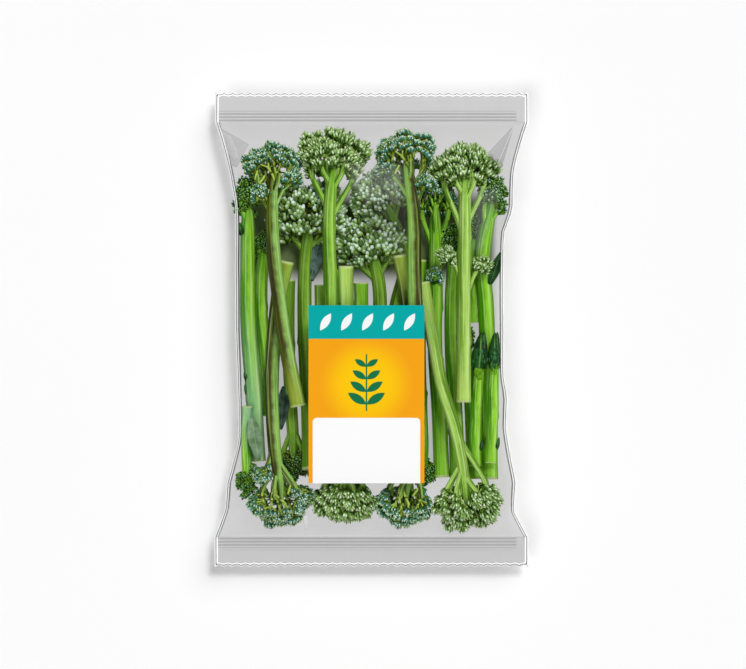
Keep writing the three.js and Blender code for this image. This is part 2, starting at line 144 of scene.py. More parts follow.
# The spears, as in the solids: the middle of the cut end, points that the stalk passes, the middle
# of the head, and the head's width, depth and height. A branch is how far below the crown it leaves
# the stalk and its turn round the stalk in degrees. A shoot is how far below the crown it leaves, the
# middle of its own head and that head's radius. A leaf is its share of the way up the stalk, the side
# that it grows on, its length and width, and how far above the stalk's middle it starts.
SPEARS = [
    {
        "name": "spear_up_1", "skin": "olive", "buds": "teal", "girth": 4.6,
        "foot": (-43.5, -46, 27), "bends": [(-50, -14, 27.5), (-55, 18, 29), (-59, 60, 32)],
        "crown": (-59, 97, 20.5), "size": (34, 27, 30),
        "branches": [(28, 0), (22, 70), (32, 150), (24, 250)],
        "shoots": [(30, (-46, 90, 26), 6), (41, (-67, 81, 28), 6)],
    },
    {
        "name": "spear_up_2", "skin": "pale", "buds": "sage", "girth": 4.5,
        "foot": (-26, -46, 24), "bends": [(-25, 0, 26), (-24.5, 30, 29), (-25, 65, 33)],
        "crown": (-22.5, 104, 20.5), "size": (43, 27, 32),
        "branches": [(50, 0), (28, 60), (24, 120), (42, 180), (32, 270)],
    },
    {
        "name": "spear_up_3", "skin": "olive_right", "buds": "teal", "girth": 4.6,
        "foot": (27, -46, 27), "bends": [(26.5, 0, 28), (26, 40, 30), (25.5, 70, 32)],
        "crown": (21, 104, 20.5), "size": (36, 27, 31),
        "branches": [(26, 0), (22, 75), (32, 160), (24, 250)],
        "shoots": [(33, (7, 96, 25), 6), (42, (33.5, 87, 28), 6)],
    },
    {
        "name": "spear_up_4", "skin": "light", "buds": "sage", "girth": 4.5,
        "foot": (55.5, -43.5, 27), "bends": [(55.5, 0, 28), (55.5, 33, 30), (56, 66, 32)],
        "crown": (56, 97, 20.5), "size": (39, 27, 30),
        "branches": [(46, 0), (28, 60), (24, 120), (52, 180), (32, 270)],
        "shoots": [(74, (44, 44, 30), 5.5), (84, (67.5, 39, 27), 5.5)],
    },
    {
        "name": "spear_down_1", "skin": "olive_right", "buds": "teal", "girth": 4.6,
        "foot": (-51, 41, 16), "bends": [(-56.5, 12, 15), (-59.5, -32, 17), (-58, -68, 23)],
        "crown": (-54, -104, 20.5), "size": (36, 27, 30),
        "branches": [(28, 0), (24, 70), (32, 150), (25, 250)],
        "shoots": [(26, (-40, -98, 26), 6), (38, (-66, -87, 26), 6)],
    },
    {
        "name": "spear_down_2", "skin": "light", "buds": "sage", "girth": 4.4,
        "foot": (-15, 38, 28), "bends": [(-14.5, 5, 26), (-14.5, -50, 25), (-15, -74, 24)],
        "crown": (-16, -103, 20.5), "size": (37, 27, 29),
        "branches": [(42, 0), (28, 60), (24, 120), (38, 180), (30, 270)],
    },
    {
        "name": "spear_down_3", "skin": "olive_right", "buds": "teal", "girth": 4.6,
        "foot": (17.4, 45, 17), "bends": [(22, 18, 15), (25, -42, 15.5), (23.5, -72, 22)],
        "crown": (20, -104, 20.5), "size": (34, 27, 29),
        "branches": [(28, 0), (22, 70), (30, 150), (25, 250)],
    },
    {
        "name": "spear_down_4", "skin": "light", "buds": "sage", "girth": 4.2,
        "foot": (31, 28, 20), "bends": [(36, 0, 23), (42, -32, 25), (50, -58, 25), (54, -77, 24)],
        "crown": (58, -106, 20), "size": (41, 26, 30),
        "branches": [(32, 0), (28, 60), (24, 120), (50, 180), (30, 270)],
    },
    {
        "name": "spear_back_1", "skin": "dull", "buds": "frosted", "girth": 4.8,
        "foot": (-36.5, -84, 21), "bends": [(-37.5, -48, 16.5), (-39.5, -10, 9.5), (-40, 28, 8)],
        "crown": (-37, 69, 14), "size": (44, 24, 38),
        "branches": [(24, 0), (28, 180)],
        "leaves": [(0.74, 1, 24, 9, 1.5)], "foliage": "grey",
    },
    {
        "name": "spear_back_2", "skin": "dull", "buds": "frosted", "girth": 4.8,
        "foot": (3, -74, 8), "bends": [(4.5, -10, 7), (5, 25, 7.5)],
        "crown": (-1, 52, 13), "size": (37, 23, 28),
        "branches": [(26, 0), (30, 180)],
    },
    {
        "name": "spear_back_3", "skin": "dull", "buds": "frosted", "girth": 4,
        "foot": (12, -72, 7), "bends": [(14, 10, 6), (20.5, 40, 6.5), (17, 58, 6.5)],
        "crown": (5, 81.5, 12.5), "size": (34, 20, 26),
        "branches": [(22, 0), (20, 200)],
    },
    {
        "name": "spear_back_4", "skin": "bright", "buds": "teal", "girth": 4.7,
        "foot": (42.6, -89, 6.6), "bends": [(41, -50, 6.6), (38.5, -10, 6.8), (39, 30, 7)],
        "crown": (38.5, 78, 12.5), "size": (26, 21, 26),
        "branches": [(36, 0), (30, 90), (40, 180)],
        "shoots": [(60, (38, 33, 14.5), 5)],
    },
    {
        "name": "spear_back_5", "skin": "bright", "buds": "speckled", "girth": 5.2,
        "foot": (71, -90, 11), "bends": [(70.6, -40, 11), (69, 15, 13), (67, 45, 15.5)],
        "crown": (73.5, 80, 19), "size": (16, 16, 28),
        "branches": [(22, 30), (28, 150)],
        "leaves": [(0.69, 1, 20, 6.5, 4.5)],
    },
    {
        "name": "spear_back_6", "skin": "hazy", "buds": "dark", "girth": 5,
        "foot": (-68.4, -79, 10.8),
        "bends": [(-70.4, -40, 13.2), (-73.6, 0, 17.3), (-74, 40, 17.8)],
        "crown": (-74, 80, 17), "size": (14.5, 14, 26),
        "branches": [(24, 140)],
        "leaves": [(0.85, -1, 8, 4, 2), (0.24, -1, 9, 3.5, 1), (0.3, -1, 7, 3, 2)],
    },
    {
        "name": "spear_back_7", "skin": "dull", "buds": "dark", "girth": 4.2,
        "foot": (-50, 30, 6.2), "bends": [(-50, 0, 6.3), (-49.5, -20, 6.8)],
        "crown": (-46, -80, 9.5), "size": (22, 16, 23),
        "branches": [(24, 20), (26, 140)],
        "leaves": [(0.58, 1, 26, 8, 1.5)], "foliage": "grey",
    },
    {
        "name": "spear_back_8", "skin": "bright", "buds": "dark", "girth": 4.3,
        "foot": (-61.4, -52, 6.2), "bends": [(-62.4, -30, 6.4), (-65.3, 0, 9.5), (-66.2, 15, 10.5)],
        "crown": (-65, 50, 12.5), "size": (11, 12, 19),
    },
    {
        "name": "spear_back_9", "skin": "bright", "buds": "dark", "girth": 4.2,
        "foot": (-6, 28, 7), "bends": [(-5.5, 5, 8)],
        "crown": (-5, -62, 16), "size": (12, 12, 18),
    },
    {
        "name": "spear_back_10", "skin": "bright", "buds": "dark", "girth": 4.7,
        "foot": (52.4, -89, 6.5), "bends": [(50.8, -50, 6.5), (48.7, -10, 6.6), (48.7, 20, 7)],
        "crown": (51, 55, 11), "size": (13, 13, 22),
    },
    {
        "name": "spear_back_11", "skin": "bright", "buds": "dark", "girth": 4,
        "foot": (62.2, 4, 8.3), "bends": [(61.6, 25, 8.3)],
        "crown": (61, 60, 9.5), "size": (12, 12, 20),
    },
    {
        "name": "spear_back_12", "skin": "bright", "buds": "dark", "girth": 4.6,
        "foot": (62, -90, 6.9), "bends": [(60.6, -50, 6.6)],
        "crown": (57.3, -6, 8), "size": (9, 10, 20),
    },
    {
        "name": "spear_back_13", "skin": "dull", "buds": "dark", "girth": 4.4,
        "foot": (-29.6, 27, 6.2), "bends": [(-29.6, 0, 6.2)],
        "crown": (-27, -62, 9), "size": (12, 12, 22),
    },
    {
        "name": "spear_back_14", "skin": "bright", "buds": "dark", "girth": 4.2,
        "foot": (-18.4, 36, 6.4), "bends": [(-18.4, 0, 6.4)],
        "crown": (-16, -58, 8.5), "size": (10, 10, 20),
    },
    {
        "name": "spear_back_15", "skin": "bright", "buds": "dark", "girth": 4,
        "foot": (29.4, 42, 6.4), "bends": [(29.4, -20, 6.4)],
        "crown": (32, -86, 11), "size": (12, 12, 20),
    },
    {
        "name": "spear_slim_1", "skin": "bright", "buds": "closed", "girth": 3.8,
        "foot": (62.5, -82, 17), "bends": [(63, -50, 17)],
        "crown": (65.2, -17, 23), "size": (10, 10, 31),
        "leaves": [(0.14, 1, 8, 2.4, 1.5)],
    },
    {
        "name": "spear_slim_2", "skin": "bright", "buds": "closed", "girth": 3.6,
        "foot": (72, -80, 23.3), "bends": [(73, -50, 23.1)],
        "crown": (73.9, -17, 22.2), "size": (8, 8.5, 31),
        "leaves": [(0.12, 1, 8, 2.4, 1)],
    },
    {
        "name": "spear_slim_3", "skin": "hazy", "buds": "dark", "girth": 3.2,
        "foot": (-74.2, -46, 21), "bends": [(-75, -66, 19.5)],
        "crown": (-74.5, -91, 18.5), "size": (11, 11, 21),
        "leaves": [(0.14, -1, 26, 9, 1.5)], "foliage": "pale",
    },
]

# A kind of bud: its radius and half length, how many sit on a floret, the floret's radius, how
# far its buds fan out, how strongly they point along it, how closely florets stand, how far they
# go down the front and the flanks of the head, how pointed the head is, how many stems it has,
# how far it swells past the solid's form, and how far below the crown stems fork, in half heights
BUD_KINDS = {
    "teal": {
        "radius": 0.6, "half": 1.35, "count": 13, "floret": 2.7, "open": 1.35, "forward": 1.4,
        "spread": 0.85, "front": 1.15, "flank": 2.1, "point": 0.0, "stems": 20,
        "swell": 1.0, "fork": (0.8, 1.3)},
    "sage": {
        "radius": 0.76, "half": 1.9, "count": 13, "floret": 4.0, "open": 1.2, "forward": 1.3,
        "spread": 0.68, "front": 1.8, "flank": 2.2, "point": 0.0, "stems": 22,
        "swell": 1.0, "fork": (1.1, 1.8)},
    "frosted": {
        "radius": 1.4, "half": 2.1, "count": 14, "floret": 5.4, "open": 1.5, "forward": 0.9,
        "spread": 0.64, "front": 1.9, "flank": 2.2, "point": 0.0, "stems": 14,
        "swell": 1.12, "fork": (1.0, 1.5)},
    "dark": {
        "radius": 0.75, "half": 1.0, "count": 22, "floret": 4.0, "open": 1.7, "forward": 0.5,
        "spread": 0.85, "front": 1.7, "flank": 2.05, "point": 0.0, "stems": 8,
        "swell": 1.0, "fork": (0.8, 1.3)},
    "closed": {
        "radius": 0.8, "half": 2.4, "count": 5, "floret": 1.5, "open": 0.8, "forward": 7.0,
        "spread": 0.72, "front": 2.75, "flank": 2.9, "point": 0.5, "stems": 3,
        "swell": 0.72, "fork": (1.0, 1.2)},
}
BUD_KINDS["speckled"] = BUD_KINDS["dark"]
FLORET_SHAPES = 4
PEDICEL_RADIUS = 0.36


# Shading

def tint(red, green, blue):
    """A colour given as it looks on screen, from 0 to 255."""
    def linear(level):
        level /= 255
        return level / 12.92 if level <= 0.04045 else ((level + 0.055) / 1.055) ** 2.4
    return (linear(red), linear(green), linear(blue), 1.0)


class Value:
    """A shader socket that is reckoned with like a number."""

    def __init__(self, paint, socket):
        self.paint = paint
        self.socket = socket

    def math(self, operation, *others):
        sockets = dict(enumerate((self, *others)))
        return self.paint.node("Math", {"operation": operation}, sockets)

    def __add__(self, other):
        return self.math("ADD", other)

    __radd__ = __add__

    def __mul__(self, other):
        return self.math("MULTIPLY", other)

    __rmul__ = __mul__

    def __sub__(self, other):
        return self.math("SUBTRACT", other)

    def __rsub__(self, other):
        return self.paint.node("Math", {"operation": "SUBTRACT"}, {0: other, 1: self})

    def __abs__(self):
        return self.math("ABSOLUTE")

    def step(self, low, high):
        """Eases from 0 at low to 1 at high."""
        return self.paint.node(
            "MapRange", {"interpolation_type": "SMOOTHSTEP"},
            {"Value": self, "From Min": low, "From Max": high, "To Min": 0.0, "To Max": 1.0})


class Paint:
    """The nodes of one material."""

    def __init__(self, name):
        self.material = bpy.data.materials.new(name)
        self.material.use_nodes = True
        self.tree = self.material.node_tree
        self.tree.nodes.clear()

    def node(self, kind, settings=(), sockets=(), output=0):
        """Adds a node with its settings first, then the values or links of its sockets."""
        made = self.tree.nodes.new("ShaderNode" + kind)
        for key, value in dict(settings).items():
            setattr(made, key, value)
        for key, value in dict(sockets).items():
            if isinstance(value, Value):
                self.tree.links.new(value.socket, made.inputs[key])
            else:
                made.inputs[key].default_value = value
        return Value(self, made.outputs[output]) if made.outputs else None

    def parts(self, vector):
        """The three numbers of a vector."""
        split = self.node("SeparateXYZ", (), {0: vector})
        return [Value(self, socket) for socket in split.socket.node.outputs]

    def place(self):
        """Where a point lies on the object, in metres."""
        return self.node("TexCoord", (), (), "Object")

    def place_mm(self):
        """Where a point lies on the object, in millimetres."""
        return self.scaled(self.place(), (1 / MM, 1 / MM, 1 / MM))

    def attribute(self, name, output="Vector"):
        return self.node("Attribute", {"attribute_name": name}, (), output)

    def scaled(self, vector, by):
        return self.node("VectorMath", {"operation": "MULTIPLY"}, {0: vector, 1: by})

    def noise(self, vector, scale, detail=2.0):
        return self.node(
            "TexNoise", (), {"Vector": vector, "Scale": scale, "Detail": detail}, "Fac")

    def mix(self, first, second, share):
        """A colour between two."""
        return self.node(
            "Mix", {"data_type": "RGBA"}, {0: share, 6: first, 7: second}, 2)

    def bump(self, height, strength, distance):
        return self.node(
            "Bump", (), {"Strength": strength, "Distance": distance, "Height": height})

    def within(self, x, y, corners, soft):
        """1 inside a convex outline whose corners turn left, and 0 outside it."""
        share = 1.0
        for here, there in zip(corners, corners[1:] + corners[:1]):
            length = math.dist(here, there)
            right, ahead = (here[1] - there[1]) / length, (there[0] - here[0]) / length
            share = share * ((x - here[0]) * right + (y - here[1]) * ahead).step(-soft, soft)
        return share

    def finish(self, **sockets):
        """Ends in one surface shader with these sockets."""
        named = {key.replace("_", " "): value for key, value in sockets.items()}
        surface = self.node("BsdfPrincipled", (), named)
        self.node("OutputMaterial", (), {"Surface": surface})
        return self.material


def stalk_skin(name, left, right, foot, bloom, middle=0.0, foot_end=0.24):
    """Ribbed skin that turns from one colour to another across the stalk, with fine streaks, a
    painted highlight down one side and painted shade towards its limbs.
    """
    paint = Paint(name)
    grain = paint.attribute("grain")
    across, _, share = paint.parts(grain)
    streaks = paint.noise(paint.scaled(grain, (2.0, 2.0, 1.6)), 1.8, 4.0)
    mottle = paint.noise(paint.place(), 140.0, 3.0)
    turn = (across - middle + (mottle - 0.5) * 0.8).step(-0.45, 0.45)
    colour = paint.mix(left, right, turn)
    colour = paint.mix(colour, bloom, streaks.step(0.51, 0.6) * 0.5)
    shaded = paint.scaled(colour, (0.42, 0.56, 0.3))
    colour = paint.mix(colour, shaded, streaks.step(0.47, 0.38) * 0.75)
    colour = paint.mix(colour, foot, share.step(foot_end, 0.02) * 0.6)
    colour = paint.mix(colour, tint(214, 228, 158), share.step(0.011, 0.006) * 0.8)
    # Painted highlight: a pale thin line down one side of the stalk
    glint = across.step(0.45, 0.6) * across.step(0.85, 0.7) * streaks.step(0.4, 0.55)
    colour = paint.mix(colour, tint(216, 234, 178), glint * 0.5)
    # Painted shade: darker towards both limbs of the stalk
    shaded = paint.scaled(colour, (0.3, 0.4, 0.2))
    colour = paint.mix(colour, shaded, abs(across).step(0.8, 1.0) * 0.55)
    height = streaks + mottle * 0.3
    return paint.finish(
        Base_Color=colour, Roughness=0.34 + mottle * 0.2,
        Normal=paint.bump(height, 0.6, 0.0008), Specular_IOR_Level=0.22)


def stem_skin(name, low, high):
    """Skin of the fine twigs: darker where they leave the branch, as painted shade deep in the head,
    and lighter under the buds, with painted shade towards their limbs.
    """
    paint = Paint(name)
    across, _, share = paint.parts(paint.attribute("grain"))
    tone = paint.attribute("tone", "Fac")
    colour = paint.mix(low, high, (share + (tone - 0.5) * 0.6).step(0.05, 0.85))
    # Painted shade: darker towards both limbs of the twig
    shaded = paint.scaled(colour, (0.3, 0.42, 0.2))
    colour = paint.mix(colour, shaded, abs(across).step(0.5, 1.0) * 0.7)
    return paint.finish(Base_Color=colour, Roughness=0.42, Specular_IOR_Level=0.2)


def bud_skin(name, base, body, tip, young=None):
    """Waxy buds: a foot colour, then their own, then a pale tip that is partly their colour and
    partly a painted highlight. Young ones lie below a place.
    """
    paint = Paint(name)
    height = paint.parts(paint.attribute("grain"))[2]
    tone = paint.attribute("tone", "Fac")
    patch = paint.noise(paint.place(), 120.0)
    # In the dark kinds the foot colour is painted shade deep between the buds
    colour = paint.mix(base, body, height.step(-0.7, 0.15))
    colour = paint.mix(colour, tip, (height + (tone - 0.5) * 0.9).step(0.3, 0.85))
    # Painted shade: some buds and patches are darkened, standing for the deep gaps between them
    dark = paint.scaled(colour, (0.2, 0.26, 0.16))
    colour = paint.mix(dark, colour, (tone + patch * 0.6).step(0.34, 0.7))
    if young is not None:
        along = paint.parts(paint.place())[1] + (tone - 0.5) * 0.008
        colour = paint.mix(young, colour, along.step(YOUNG_BELOW - 0.002, YOUNG_BELOW + 0.002))
    return paint.finish(Base_Color=colour, Roughness=0.5, Specular_IOR_Level=0.2)


def cut_flesh():
    """The pale cut end, mottled with fine fibres."""
    paint = Paint("cut flesh")
    fibres = paint.noise(paint.place(), 900.0, 3.0)
    colour = paint.mix(tint(176, 196, 118), tint(216, 226, 168), fibres)
    return paint.finish(Base_Color=colour, Roughness=0.6)


def leaf_skin(name, dark, light, rib):
    """A mottled leaf with a paler midrib."""
    paint = Paint(name)
    across, _, _ = paint.parts(paint.attribute("grain"))
    mottle = paint.noise(paint.place(), 200.0, 3.0)
    colour = paint.mix(dark, light, mottle.step(0.3, 0.75))
    colour = paint.mix(rib, colour, abs(across).step(0.03, 0.12))
    return paint.finish(
        Base_Color=colour, Roughness=0.42, Normal=paint.bump(mottle, 0.4, 0.0005),
        Specular_IOR_Level=0.2)


def film_skin():
    """Clear film: grey behind the bunch, mostly a painted glow, with painted green shade under the
    bunch; glossy in front, with painted reflections and painted shade on creased facets; a painted
    white highlight along its edges.
    """
    paint = Paint("clear film")
    place = paint.place_mm()
    x, y, height = paint.parts(place)
    edge = paint.attribute("edge", "Fac")
    seal = abs(y).step(PILLOW_HALF - 0.2, PILLOW_HALF + 0.2)
    front = height.step(SEAM_HEIGHT + 0.2, SEAM_HEIGHT + 1.2) * (1.0 - seal)
    above = (seal + height.step(SEAM_HEIGHT - 0.4, SEAM_HEIGHT)).math("MINIMUM", 1.0)
    rim = edge.step(2.1, 1.7) * above
    line = edge.step(0.5, 0.8) * edge.step(1.4, 1.1)
    # Painted shade: dark green on the back of the film under the bunch, thinner behind the stalks low
    # down
    left, right, foot, top = PAINTED_SHADE_BOX
    painted_shade = x.step(left - 3, left + 3) * x.step(right + 3, right - 3)
    painted_shade = painted_shade * y.step(foot - 8, foot + 4) * y.step(top + 8, top - 8)
    painted_shade = painted_shade * (y.step(PAINTED_SHADE_STEP - 8, PAINTED_SHADE_STEP + 4) * (1 - THIN_PAINTED_SHADE) + THIN_PAINTED_SHADE)
    colour = paint.mix(tint(*BACK_GREY), tint(*PAINTED_SHADE_GREEN), painted_shade)
    colour = paint.mix(colour, tint(120, 120, 120), edge.step(2.6, 2.0) * (1.0 - above))
    colour = paint.mix(colour, tint(*SEAL_GREY), seal)
    colour = paint.mix(colour, tint(20, 22, 22), front)
    alpha = BACK_COVER - front * (BACK_COVER - FRONT_COVER)
    # Painted reflections and painted shade on facets of the front film
    for corners, grey, cover, soft in PAINTED_FACETS:
        share = paint.within(x, y, corners, soft) * front
        colour = paint.mix(colour, tint(grey, grey, grey), share)
        alpha = alpha + share * (cover - FRONT_COVER)
    offset = abs(y) - (PILLOW_HALF + 1.0)
    ribs = ((offset * (2 * math.pi / RIB_PITCH)).math("COSINE") * 0.5 + 0.5).step(0.35, 0.95)
    ribs = ribs * offset.step(-0.6, -0.2) * offset.step(RIB_ZONE - 1.6, RIB_ZONE - 2.2)
    ribs = ribs * x.step(RIB_END, RIB_END - 1.5)
    colour = paint.mix(colour, tint(160, 161, 161), ribs * 0.75)
    # Painted highlight: a white rim along the film's edges and seals
    colour = paint.mix(colour, tint(254, 254, 254), rim)
    colour = paint.mix(colour, tint(120, 121, 121), line)
    # Painted glow: the back of the film shines white away from the seals, edges and painted shade,
    # and the white rim shines pale grey, though the film is no lamp
    glow = (front + seal + painted_shade + edge.step(2.6, 2.0)).math("MINIMUM", 1.0)
    glow = paint.mix(tint(255, 255, 255), tint(0, 0, 0), glow)
    glow = paint.mix(glow, tint(190, 190, 190), rim * (1.0 - line))
    ripple = paint.noise(paint.scaled(place, (1.0, 0.5, 1.0)), 0.05, 3.0)
    return paint.finish(
        Base_Color=colour, Roughness=0.16, Alpha=alpha + rim * 0.8,
        Normal=paint.bump(ripple, 0.2, 0.003), Specular_IOR_Level=0.05,
        Emission_Color=glow, Emission_Strength=0.6)


def leaf_mark(x, y, foot, turn, length, width):
    """1 on a pointed leaf that grows from a foot, in millimetres."""
    across, along = math.cos(turn), math.sin(turn)
    run = ((x - foot[0]) * across + (y - foot[1]) * along) * (2 / length) - 1.0
    off = (y - foot[1]) * across - (x - foot[0]) * along
    return ((1.0 - run * run) * (width / 2) - abs(off)).step(-0.12, 0.12)


def label_print():
    """A plain generic print: a teal band of leaves, a sprig on a glowing field, a white panel."""
    paint = Paint("label print")
    x, y, _ = paint.parts(paint.place_mm())
    x = x - LABEL_CENTRE[0]
    y = y - LABEL_CENTRE[1]
    glow = ((x * x + (y - 6.0) * (y - 6.0)) * 0.0012).step(1.0, 0.0)
    colour = paint.mix(tint(247, 165, 20), tint(255, 204, 6), glow)
    band = y.step(BAND_FOOT - 0.1, BAND_FOOT + 0.1)
    colour = paint.mix(colour, tint(0, 169, 167), band)
    for i in range(BAND_LEAVES):
        foot = ((i - (BAND_LEAVES - 1) / 2) * BAND_PITCH - 2.5, BAND_FOOT + 5)
        mark = leaf_mark(x, y, foot, math.radians(58), 12, 4.6)
        colour = paint.mix(colour, tint(246, 250, 248), mark)
    sprig = (0.45 - abs(x)).step(-0.1, 0.1) * (y - SPRIG_FOOT).step(0.0, 0.2)
    sprig = sprig * (SPRIG_FOOT + SPRIG_HEIGHT - y).step(0.0, 0.2)
    colour = paint.mix(colour, tint(22, 116, 72), sprig)
    for i in range(SPRIG_PAIRS):
        height = SPRIG_FOOT + 4 + i * (SPRIG_HEIGHT - 4) / SPRIG_PAIRS
        for turn in (32, 148):
            mark = leaf_mark(x, y, (0, height), math.radians(turn), 13 - 1.6 * i, 5 - 0.5 * i)
            colour = paint.mix(colour, tint(22, 116, 72), mark)
    corner = ((abs(x) - (PANEL_HALF - PANEL_ROUND)).math("MAXIMUM", 0.0),
              (y - (PANEL_TOP - PANEL_ROUND)).math("MAXIMUM", 0.0))
    away = (corner[0] * corner[0] + corner[1] * corner[1]).math("SQRT")
    panel = away.step(PANEL_ROUND + 0.1, PANEL_ROUND - 0.1)
    colour = paint.mix(colour, tint(254, 254, 254), panel)
    return paint.finish(Base_Color=colour, Roughness=0.5, Specular_IOR_Level=0.04)


def floor_paint():
    paint = Paint("pale floor")
    colour = paint.mix(
        tint(252, 252, 252), tint(255, 255, 255), paint.noise(paint.place(), 3.0))
    return paint.finish(Base_Color=colour, Roughness=0.9, Specular_IOR_Level=0.0)


STALK_TONES = {
    "olive": (tint(62, 60, 0), tint(166, 218, 112), tint(180, 204, 64), tint(124, 162, 30), 0.15),
    "pale": (tint(86, 140, 12), tint(146, 204, 56), tint(176, 220, 80), tint(202, 236, 130)),
    "light": (tint(120, 166, 46), tint(174, 222, 94), tint(192, 226, 106), tint(222, 244, 162)),
    "dull": (tint(90, 134, 20), tint(132, 182, 46), tint(118, 170, 40), tint(166, 206, 90)),
    "bright": (tint(86, 160, 4), tint(150, 220, 34), tint(138, 206, 38), tint(196, 236, 126)),
    "hazy": (tint(86, 158, 8), tint(148, 214, 40), tint(154, 198, 168), tint(188, 226, 142), 0, 0.7),
}
left, right, foot, bloom, middle = STALK_TONES["olive"]
STALK_TONES["olive_right"] = (right, left, foot, bloom, -middle)
SKINS = {name: stalk_skin(name + " stalk", *tones) for name, tones in STALK_TONES.items()}
STEMS = {
    "olive": stem_skin("olive stem", tint(76, 104, 14), tint(186, 214, 92)),
    "pale": stem_skin("pale stem", tint(88, 134, 26), tint(176, 214, 104)),
    "dull": stem_skin("dull stem", tint(58, 86, 10), tint(170, 200, 66)),
    "bright": stem_skin("bright stem", tint(36, 78, 6), tint(156, 212, 50)),
}
STEMS["olive_right"] = STEMS["olive"]
STEMS["light"] = STEMS["pale"]
STEMS["hazy"] = STEMS["bright"]
BUDS = {
    "teal": bud_skin("teal bud", tint(92, 130, 22), tint(62, 146, 134), tint(232, 255, 255)),
    "sage": bud_skin("sage bud", tint(34, 66, 8), tint(152, 196, 104), tint(246, 255, 232)),
    "frosted": bud_skin("frosted bud", tint(146, 180, 40), tint(166, 204, 124), tint(232, 250, 244)),
    "dark": bud_skin("dark bud", tint(18, 46, 8), tint(46, 104, 48), tint(134, 184, 132)),
    "speckled": bud_skin(
        "speckled bud", tint(36, 70, 20), tint(78, 130, 84), tint(190, 222, 204)),
    "closed": bud_skin(
        "closed bud", tint(14, 46, 14), tint(26, 84, 36), tint(60, 126, 76), tint(120, 176, 30)),
}
CUT_FLESH = cut_flesh()
LEAVES = {
    "grey": leaf_skin("grey leaf", tint(44, 70, 56), tint(104, 130, 124), tint(132, 162, 128)),
    "pale": leaf_skin("pale leaf", tint(86, 122, 76), tint(138, 168, 136), tint(172, 196, 148)),
    "dark": leaf_skin("dark leaf", tint(8, 42, 10), tint(40, 96, 36), tint(96, 150, 60)),
}


# Lines

def through(points, count=90):
    """Evenly spaced places on a smooth curve through the points."""
    knots = [np.array(point, float) for point in points]
    knots = [2 * knots[0] - knots[1], *knots, 2 * knots[-1] - knots[-2]]
    line = [knots[1][None, :]]

    def between(first, second, start, end, now):
        return first + (second - first) * (now - start) / (end - start)

    for four in zip(knots, knots[1:], knots[2:], knots[3:]):
        times = np.cumsum([0] + [math.dist(a, b) ** 0.5 for a, b in zip(four, four[1:])])
        now = np.linspace(times[1], times[2], 25)[1:, None]
        places = list(four)
        for width in (1, 2):
            places = [
                between(places[i], places[i + 1], times[i], times[i + width], now)
                for i in range(len(places) - 1)]
        line.append(between(*places, times[1], times[2], now))
    line = np.concatenate(line)
    gone = np.concatenate([[0], np.cumsum(np.linalg.norm(np.diff(line, axis=0), axis=1))])
    even = np.linspace(0, gone[-1], count)
    return np.column_stack([np.interp(even, gone, line[:, k]) for k in range(3)])


def unit(vector):
    return vector / np.linalg.norm(vector)


class Course:
    """A smooth line through points, with a side and an upper direction all along it."""

    def __init__(self, points, side):
        self.places = through(points)
        steps = np.gradient(self.places, axis=0)
        self.aheads = steps / np.linalg.norm(steps, axis=1)[:, None]
        self.length = float(np.linalg.norm(np.diff(self.places, axis=0), axis=1).sum())
        sides = []
        for ahead in self.aheads:
            side = unit(side - ahead * (side @ ahead))
            sides.append(side)
        self.sides = np.array(sides)
        self.uppers = np.cross(self.sides, self.aheads)
        self.shares = np.linspace(0, 1, len(self.places))

    def read(self, track, share):
        return np.column_stack([np.interp(share, self.shares, track[:, k]) for k in range(3)])

    def at(self, share):
        return self.read(self.places, np.array([share]))[0]

    def ahead(self, share):
        return unit(self.read(self.aheads, np.array([share]))[0])


# Stencils

class Stencil:
    """A small mesh that is stamped many times. Its grain is where its points lay at first."""

    def __init__(self, bm, finish=None):
        for face in bm.faces:
            face.smooth = True
            if finish is not None:
                face.material_index = finish
        self.mesh = bpy.data.meshes.new("stencil")
        bm.to_mesh(self.mesh)
        bm.free()
        self.rest = np.empty((len(self.mesh.vertices), 3))
        self.mesh.vertices.foreach_get("co", self.rest.ravel())
        if "grain" not in self.mesh.attributes:
            grain = self.mesh.attributes.new("grain", "FLOAT_VECTOR", "POINT")
            grain.data.foreach_set("vector", self.rest.ravel())
            self.mesh.attributes.new("tone", "FLOAT", "POINT")
            self.colour(0.5)

    def colour(self, tone):
        self.mesh.attributes["tone"].data.foreach_set("value", [tone] * len(self.rest))

    def stamp(self, bm, places):
        self.mesh.vertices.foreach_set("co", np.ascontiguousarray(places, np.float32).ravel())
        bm.from_mesh(self.mesh, face_normals=False, vertex_normals=False)

    def lay(self, bm, course, radius):
        """Stamps an upright rod along a course. radius depends on the way gone and the angle."""
        share = self.rest[:, 2]
        angle = np.arctan2(self.rest[:, 1], self.rest[:, 0])
        reach = radius(share, angle)
        out = course.read(course.sides, share) * (np.cos(angle) * reach)[:, None]
        rise = course.read(course.uppers, share) * (np.sin(angle) * reach)[:, None]
        self.stamp(bm, course.read(course.places, share) + out + rise)

    def stand(self, bm, foot, axis, spin, size):
        """Stamps it standing on a foot, grown along an axis."""
        helper = UP if abs(axis[2]) < 0.9 else np.array([1.0, 0.0, 0.0])
        first = unit(np.cross(axis, helper))
        second = np.cross(axis, first)
        side = first * math.cos(spin) + second * math.sin(spin)
        turn = np.array([side, np.cross(axis, side), axis])
        self.stamp(bm, foot + (self.rest * size) @ turn)


